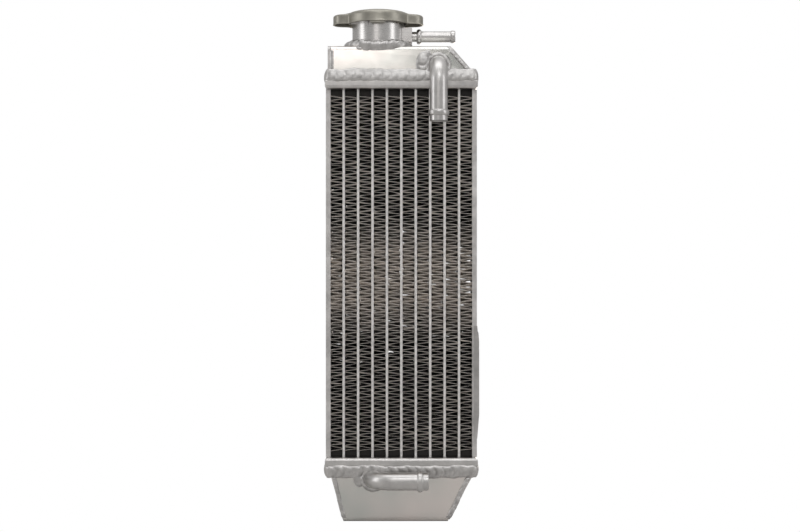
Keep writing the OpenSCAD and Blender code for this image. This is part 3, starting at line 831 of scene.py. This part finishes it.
def make_ring_welds():
    weld = MATERIALS["weld_metal"]
    neck_low, neck_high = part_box("neck_weld")
    tank_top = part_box("top_tank_wrap")[1].z
    half_y = neck_high.y - 1.9 * MM
    centre_x = (neck_low.x + neck_high.x) / 2
    points, outs = [], []
    for k in range(56):
        turn = 2 * math.pi * k / 56
        x, y = math.cos(turn), math.sin(turn)
        reach = 21.6 * MM
        px, py = x * reach, max(-half_y, min(half_y, y * reach))
        sink = max(0.0, abs(y * reach) - half_y)
        points.append(Vector((centre_x + px, py, tank_top + 1.1 * MM - 0.3 * sink)))
        outs.append(Vector((x * 0.5, y * 0.5, 1)))
    bead = weld_bead("bead", points, outs, 7.2 * MM, 4.0 * MM, 5.2 * MM, closed=True, seed=31,
                     relief=0.26, depth=0.6)
    drips = []
    for k, (dx, drop, size) in enumerate(((-13.2, 0.2, 2.6), (-8.6, 1.0, 3.1), (-3.6, 0.7, 2.9),
                                          (0.8, 0.2, 2.2))):
        a = Vector((centre_x + (dx - size) * MM, -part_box("top_tank_wrap")[1].y + 0.5 * MM,
                    tank_top - (1.4 + drop) * MM))
        b = a + Vector((2 * size * MM, 0, 0.2 * MM))
        path = straight(a, b, 3)
        drips.append(weld_bead("bead", path, [Vector((0, -1, 0.4))] * 4, 3.2 * MM, 1.3 * MM,
                               4 * MM, seed=40 + k, relief=0.2, taper=True))
    finish_piece(join([bead, *drips], "weld_neck"), ["neck_weld"], weld)

    for node, name, seed in (("inlet_weld", "weld_inlet", 50), ("outlet_weld", "weld_outlet", 60)):
        low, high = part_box(node)
        if node == "inlet_weld":
            centre = Vector(((low.x + high.x) / 2, high.y, high.z - 9.8 * MM))
        else:
            centre = Vector(((low.x + high.x) / 2, high.y, low.z + 9.8 * MM))
        points, outs = ring_path(centre + Vector((0, -0.3 * MM, 0)), "Y", 7.7 * MM)
        bead = weld_bead("bead", points, outs, 4.4 * MM, 1.9 * MM, 4.6 * MM, closed=True,
                         seed=seed, relief=0.3, depth=0.5)
        spread = (11.4 if node == "inlet_weld" else 10.0) * MM
        arc = []
        first, last = ((118, 232) if node == "inlet_weld" else (128, 215))
        for k in range(15):
            turn = math.radians(first + (last - first) * k / 14)
            arc.append(centre + Vector((math.cos(turn) * spread, 0.5 * MM,
                                        math.sin(turn) * spread)))
        patch = weld_bead("bead", arc, [Vector((0, -1, 0))] * 15, 10 * MM, 2.3 * MM, 6.2 * MM,
                          seed=seed + 3, relief=0.3, depth=0.6, taper=True)
        bead = join([bead, patch], name)
        finish_piece(bead, [node], weld)

    low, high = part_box("bracket_welds")
    beads = []
    third = (high.z - low.z - 12 * MM) / 2
    for k in range(3):
        a = Vector((low.x + 0.9 * MM, low.y + 0.3 * MM, low.z + k * third))
        path = straight(a, a + Vector((0, 0, 12 * MM)), 4)
        beads.append(weld_bead("bead", path, [Vector((-0.4, 1, 0))] * 5, 2.8 * MM, 1.2 * MM,
                               2.4 * MM, seed=70 + k, relief=0.3, taper=True))
    finish_piece(join(beads, "weld_bracket"), ["bracket_welds"], weld)


# ---------- pipes, nipple, cap ----------


def make_pipe(node, name, leg_axis, material):
    """Drawn tube: straight out of the tank, a quarter bend, and a leg with a rolled bead."""
    low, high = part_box(node)
    radius = 6.4 * MM
    bend_r = 15 * MM
    bead_r = 7.55 * MM
    tank_face = -19.2 * MM
    leg_y = low.y + 7.3 * MM
    if leg_axis == "down":
        stub = Vector(((low.x + high.x) / 2, high.y, high.z - radius))
        length = stub.z - low.z
    else:
        stub = Vector((low.x + radius, high.y, (low.z + high.z) / 2))
        length = high.x - stub.x
    obj = start_ring(name, stub, "Y", radius)
    bend_y = leg_y + bend_r
    bpy.ops.mesh.extrude_region_move(
        TRANSFORM_OT_translate={"value": (0, tank_face - stub.y, 0)})
    bpy.ops.mesh.extrude_region_move(
        TRANSFORM_OT_translate={"value": (0, bend_y - tank_face, 0)})
    if leg_axis == "down":
        centre, axis = (stub.x, bend_y, stub.z - bend_r), (1, 0, 0)
        heading = Vector((0, 0, -1))
    else:
        centre, axis = (stub.x + bend_r, bend_y, stub.z), (0, 0, 1)
        heading = Vector((1, 0, 0))
    bpy.ops.mesh.spin(steps=18, angle=-math.pi / 2, center=centre, axis=axis)
    start = Vector((stub.x, leg_y, stub.z)) + heading * bend_r
    rings = [(radius, 0.0), (radius, (length - bend_r) * 0.5)]
    rings += rolled_bead(radius, bead_r, length - bend_r - 6 * MM, 2.2 * MM)
    rings += [(radius, length - bend_r - 0.35 * MM), (radius - 0.3 * MM, length - bend_r)]
    r, h = rings[0]
    for next_r, next_h in rings[1:]:
        centre = start + heading * next_h
        bpy.ops.mesh.extrude_region_move(
            TRANSFORM_OT_translate={"value": heading * (next_h - h)})
        ratio = next_r / r
        bpy.ops.transform.resize(value=(ratio, ratio, ratio), center_override=centre)
        r, h = next_r, next_h
    done_editing()
    merge_doubles(obj)
    face_outwards(obj)
    wall = obj.modifiers.new("wall", "SOLIDIFY")
    wall.thickness = 1.3 * MM
    wall.offset = -1
    apply_modifiers(obj)
    smooth(obj, 40)
    return finish_piece(obj, [node], material)


def make_nipple():
    low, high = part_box("overflow_nipple")
    centre = Vector((low.x, (low.y + high.y) / 2, (low.z + high.z) / 2))
    rings = [(2.5, 0), (3.4, 0), (3.4, 5), (3.7, 5.1), (3.7, 8.3), (4.6, 8.5), (5.1, 8.8),
             (5.4, 9.3), (5.5, 10.2), (5.4, 11.0), (5.1, 11.5), (4.6, 11.8), (4.0, 12.0),
             (4.0, 33.2), (4.2, 33.5), (4.5, 34.0), (4.65, 34.8), (4.6, 35.7), (4.4, 36.4),
             (4.1, 36.9), (2.9, 36.9), (2.5, 36.5), (2.5, 0.3)]
    obj = turned("nipple", centre, "X", [(r * MM, h * MM) for r, h in rings], 48)
    finish_piece(obj, ["overflow_nipple"], MATERIALS["machined"])


def cover_reach(turn):
    """Outline of the cap cover: a circle that flows into two ears."""
    body, half_w, reach = 23.3, 8.5, 33.4
    c, s = abs(math.cos(turn)), abs(math.sin(turn))
    middle = reach - half_w
    ear = 0.0
    inside = half_w ** 2 - (middle * s) ** 2
    if inside > 0:
        ear = middle * c + math.sqrt(inside)
    if s > 1e-6:
        flank = half_w / s
        if flank * c < middle:
            ear = min(flank, reach) if ear == 0 else max(ear, flank)
    sharp = 9.0
    return math.log(math.exp((body - 28) * sharp / 10) + math.exp((ear - 28) * sharp / 10)) \
        * 10 / sharp + 28


def make_cap_cover():
    low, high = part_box("cap_cover")
    axis = Vector(((low.x + high.x) / 2, 0, 0))
    dome_top = high.z - CROWN_DROP
    skirt = low.z
    ear_top = skirt + 7.0 * MM
    sides = 144
    limit = (high.x - low.x) / 2 / MM
    reach = [min(cover_reach(2 * math.pi * k / sides), limit) for k in range(sides)]

    def top_z(r):
        dome = dome_top / MM - (95 - math.sqrt(95 * 95 - min(r, 30) ** 2))
        t = max(0.0, min(1.0, (r - 20.6) / 4.2))
        t = t * t * (3 - 2 * t)
        return dome * (1 - t) + (ear_top / MM) * t

    rows = []
    for drop in (0.0, 0.4, 1.4, 3.0, 4.6):
        flare = 0.25 if drop == 0 else (0.12 if drop == 0.4 else 0)
        rows.append([(r + flare - 0.25, skirt / MM + drop) for r in reach])
    round_r = 1.8
    for k in range(7):
        turn = math.pi / 2 * k / 6
        inset = round_r * (1 - math.cos(turn)) + 0.25
        rows.append([(r - inset, top_z(r - inset) - round_r * (1 - math.sin(turn)))
                     for r in reach])
    for k in range(1, 16):
        t = k / 15
        rows.append([((r - round_r - 0.25) * (1 - t) + 3.1 * t,
                      top_z((r - round_r - 0.25) * (1 - t) + 3.1 * t)) for r in reach])
    verts, faces = [], []
    for row in rows:
        for k, (r, z) in enumerate(row):
            turn = 2 * math.pi * k / sides
            verts.append((axis.x + r * MM * math.cos(turn), r * MM * math.sin(turn), z * MM))
    for i in range(len(rows) - 1):
        for k in range(sides):
            n = (k + 1) % sides
            faces.append((i * sides + k, i * sides + n, (i + 1) * sides + n, (i + 1) * sides + k))
    mesh = bpy.data.meshes.new("cap_shell_cover")
    mesh.from_pydata(verts, [], faces)
    obj = bpy.data.objects.new("cap_shell_cover", mesh)
    bpy.context.scene.collection.objects.link(obj)
    wall = obj.modifiers.new("wall", "SOLIDIFY")
    wall.thickness = 0.75 * MM
    wall.offset = -1
    apply_modifiers(obj)
    smooth(obj, 45)
    finish_piece(obj, ["cap_cover"], MATERIALS["plated_steel"])


def make_cap_springs():
    """The two coils, as smoothed copies of their CAD nodes."""
    for node, joint, at_top, travel in (("pressure_spring", "pressure_valve_lift", True, 3 * MM),
                                        ("vacuum_spring", "vacuum_valve_drop", False, 1.5 * MM)):
        obj = free_copy(node, node.replace("_", "_coil_"))
        merge_doubles(obj, 1e-6)
        smooth(obj, 60)
        finish_piece(obj, [node], MATERIALS["spring_steel"])
        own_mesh(obj)


# ---------- operators ----------


class RADIATOR_OT_finishes(bpy.types.Operator):
    """Make every finish"""

    bl_idname = "radiator.finishes"
    bl_label = "Finishes"

    def execute(self, context):
        make_materials(context.scene.radiator_looks)
        return {"FINISHED"}


class RADIATOR_OT_core(bpy.types.Operator):
    """Make the louvred fins and finish the tubes"""

    bl_idname = "radiator.core"
    bl_label = "Core"

    def execute(self, context):
        make_fins(context.scene.radiator_sizes)
        for node in TUBES:
            obj = frame["nodes"][node]
            obj.data.materials.clear()
            obj.data.materials.append(MATERIALS["core_tube"])
        for node in ("side_plate_left", "side_plate_right"):
            softened_copy(node, node.replace("side_plate", "channel"), 0.25 * MM,
                          MATERIALS["side_sheet"])
        return {"FINISHED"}


class RADIATOR_OT_tanks(bpy.types.Operator):
    """Round the edges of the tanks, headers and bracket"""

    bl_idname = "radiator.tanks"
    bl_label = "Tanks and headers"

    def execute(self, context):
        edge = context.scene.radiator_sizes.edge_round
        for node in ("top_tank_wrap", "top_tank_left_end", "top_tank_right_end",
                     "bottom_tank_wrap", "bottom_tank_left_end", "bottom_tank_right_end"):
            # the top tank's end plates take the rougher side sheet finish; the roughness is the
            # sheet's own, its darker tone is painted shade on those plates
            finish = "side_sheet" if node.startswith("top_tank_") and "end" in node else "tank_sheet"
            softened_copy(node, node.replace("_tank", "_sheet"), edge, MATERIALS[finish])
        for node in ("top_header", "bottom_header"):
            face_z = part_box(node)[0 if node == "top_header" else 1].z
            softened_copy(node, node.replace("header", "tray"), 0.6 * MM,
                          MATERIALS["header_sheet"], segments=6, lip_z=face_z, lip=4.0)
        softened_copy("mount_bracket", "bracket", 0.3 * MM, MATERIALS["bracket_plate"])
        softened_copy("mount_grommets", "grommets", 0.5 * MM, MATERIALS["black_rubber"], 3)
        softened_copy("mount_collars", "collars", 0.2 * MM, MATERIALS["plated_steel"])
        return {"FINISHED"}


class RADIATOR_OT_welds(bpy.types.Operator):
    """Lay the rippled weld beads"""

    bl_idname = "radiator.welds"
    bl_label = "Welds"

    def execute(self, context):
        make_header_welds(context.scene.radiator_sizes)
        make_end_welds()
        make_ring_welds()
        return {"FINISHED"}


class RADIATOR_OT_pipes(bpy.types.Operator):
    """Bend the hose pipes and turn the overflow nipple"""

    bl_idname = "radiator.pipes"
    bl_label = "Pipes"

    def execute(self, context):
        make_pipe("inlet_pipe", "pipe_inlet", "down", MATERIALS["pipe"])
        make_pipe("outlet_pipe", "pipe_outlet", "right", MATERIALS["pipe_level"])
        make_nipple()
        return {"FINISHED"}


class RADIATOR_OT_cap(bpy.types.Operator):
    """Make the filler neck and the pressure cap with its valves"""

    bl_idname = "radiator.cap"
    bl_label = "Neck and cap"

    def execute(self, context):
        softened_copy("filler_neck", "neck", 0.25 * MM, MATERIALS["machined"])
        make_cap_cover()
        softened_copy("cap_lock_plate", "lock_plate", 0.2 * MM, MATERIALS["plated_steel"])
        rivet = softened_copy("cap_rivet", "rivet", 0.2 * MM, MATERIALS["plated_steel"])
        for v in rivet.data.vertices:
            if v.co.z > RIVET_HEAD:
                v.co.z -= CROWN_DROP
        for node, slot in (("cap_spring_disc", "spring_steel"), ("cap_gasket", "black_rubber"),
                           ("valve_cage", "valve_brass"), ("pressure_valve", "valve_brass"),
                           ("pressure_seal", "black_rubber"), ("vacuum_valve", "valve_brass")):
            softened_copy(node, node + "_detail", 0.12 * MM, MATERIALS[slot])
        make_cap_springs()
        return {"FINISHED"}


class RADIATOR_OT_stage(bpy.types.Operator):
    """Set the floor, the lights and the camera"""

    bl_idname = "radiator.stage"
    bl_label = "Stage"

    def execute(self, context):
        scene = context.scene
        scene.view_settings.view_transform = "Standard"
        clear_selection()
        bpy.ops.mesh.primitive_plane_add(size=12, location=(0, 0, 0))
        floor = named("floor")
        floor_material = bpy.data.materials.new("floor")
        floor_material.use_nodes = True
        nodes, links = floor_material.node_tree.nodes, floor_material.node_tree.links
        shader = nodes["Principled BSDF"]
        shader.inputs["Base Color"].default_value = (0.6, 0.59, 0.58, 1)
        shader.inputs["Roughness"].default_value = 0.9
        white = nodes.new("ShaderNodeEmission")
        path = nodes.new("ShaderNodeLightPath")
        mix = nodes.new("ShaderNodeMixShader")
        links.new(path.outputs["Is Camera Ray"], mix.inputs["Fac"])
        links.new(shader.outputs["BSDF"], mix.inputs[1])
        links.new(white.outputs["Emission"], mix.inputs[2])
        links.new(mix.outputs["Shader"], nodes["Material Output"].inputs["Surface"])
        floor.data.materials.append(floor_material)

        world = bpy.data.worlds.new("studio")
        world.use_nodes = True
        nodes, links = world.node_tree.nodes, world.node_tree.links
        sky = nodes["Background"]
        place = nodes.new("ShaderNodeTexCoord")
        split = nodes.new("ShaderNodeSeparateXYZ")
        ramp = nodes.new("ShaderNodeValToRGB")
        tones = ((0.0, 0.46), (0.12, 0.4), (0.3, 0.46), (0.6, 0.6), (1.0, 0.75))
        ramp.color_ramp.elements[0].position = tones[0][0]
        ramp.color_ramp.elements[1].position = tones[-1][0]
        for position, _ in tones[1:-1]:
            ramp.color_ramp.elements.new(position)
        for element, (_, tone) in zip(ramp.color_ramp.elements, tones):
            element.color = (tone, tone * 0.99, tone * 0.975, 1)
        links.new(place.outputs["Generated"], split.inputs["Vector"])
        links.new(split.outputs["Z"], ramp.inputs["Fac"])
        links.new(ramp.outputs["Color"], sky.inputs["Color"])
        sky.inputs["Strength"].default_value = 1.0
        seen = nodes.new("ShaderNodeBackground")
        path = nodes.new("ShaderNodeLightPath")
        mix = nodes.new("ShaderNodeMixShader")
        links.new(path.outputs["Is Camera Ray"], mix.inputs["Fac"])
        links.new(sky.outputs["Background"], mix.inputs[1])
        links.new(seen.outputs["Background"], mix.inputs[2])
        links.new(mix.outputs["Shader"], nodes["World Output"].inputs["Surface"])
        seen.inputs["Color"].default_value = (1, 1, 1, 1)
        scene.world = world

        def softbox(name, place, aim, width, height, power, colour=(1, 1, 1)):
            bpy.ops.object.light_add(type="AREA", location=place)
            light = bpy.context.active_object
            light.name = name
            light.data.shape = "RECTANGLE"
            light.data.size = width
            light.data.size_y = height
            light.data.energy = power
            light.data.color = colour
            heading = Vector(aim) - Vector(place)
            light.rotation_euler = heading.to_track_quat("-Z", "Y").to_euler()
            light.visible_camera = False

        softbox("key", (-0.21, -1.5, 0.605), (-0.21, 0, 0.605), 0.47, 0.13, 0.42, (1, 0.95, 0.92))
        softbox("high", (0.1, -1.3, 1.25), (0, 0, 0.3), 0.9, 0.4, 2.4)
        softbox("behind", (0.35, 1.25, 0.12), (0, 0, 0.17), 0.5, 0.3, 3.0, (1, 0.9, 0.8))
        softbox("fill", (1.2, -0.5, 0.5), (0, 0, 0.2), 0.4, 0.9, 1.8)
        softbox("side", (-1.2, -0.3, 0.4), (0, 0, 0.2), 0.4, 0.9, 1.8)
        softbox("overhead", (0, -0.2, 1.4), (0, 0, 0.2), 1.2, 0.6, 2.6)

        bpy.ops.object.camera_add(location=(-0.001, -1.116, 0.168),
                                  rotation=(math.pi / 2, 0, 0))
        camera = bpy.context.active_object
        camera.name = "camera"
        camera.data.lens = 68
        camera.data.sensor_width = 36
        camera.data.shift_y = 0.03
        camera.data.clip_start = 0.01
        scene.camera = camera
        return {"FINISHED"}


class RADIATOR_PT_panel(bpy.types.Panel):
    """Sidebar panel that lists the pieces and their sizes"""

    bl_idname = "RADIATOR_PT_panel"
    bl_label = "Radiator"
    bl_space_type = "VIEW_3D"
    bl_region_type = "UI"
    bl_category = "Radiator"

    def draw(self, context):
        for operator in OPERATORS:
            self.layout.operator(operator.bl_idname)
        for group in (context.scene.radiator_sizes, context.scene.radiator_looks):
            for name in type(group).__annotations__:
                self.layout.prop(group, name)


OPERATORS = (RADIATOR_OT_finishes, RADIATOR_OT_core, RADIATOR_OT_tanks, RADIATOR_OT_welds,
             RADIATOR_OT_pipes, RADIATOR_OT_cap, RADIATOR_OT_stage)
CLASSES = (Sizes, Looks, *OPERATORS, RADIATOR_PT_panel)


def register():
    for cls in CLASSES:
        bpy.utils.register_class(cls)
    bpy.types.Scene.radiator_sizes = PointerProperty(type=Sizes)
    bpy.types.Scene.radiator_looks = PointerProperty(type=Looks)


def unregister():
    del bpy.types.Scene.radiator_looks
    del bpy.types.Scene.radiator_sizes
    for cls in reversed(CLASSES):
        bpy.utils.unregister_class(cls)


def main():
    register()
    bpy.ops.radiator.finishes()
    bpy.ops.radiator.core()
    bpy.ops.radiator.tanks()
    bpy.ops.radiator.welds()
    bpy.ops.radiator.pipes()
    bpy.ops.radiator.cap()
    bpy.ops.radiator.stage()


if __name__ == "__main__":
    main()
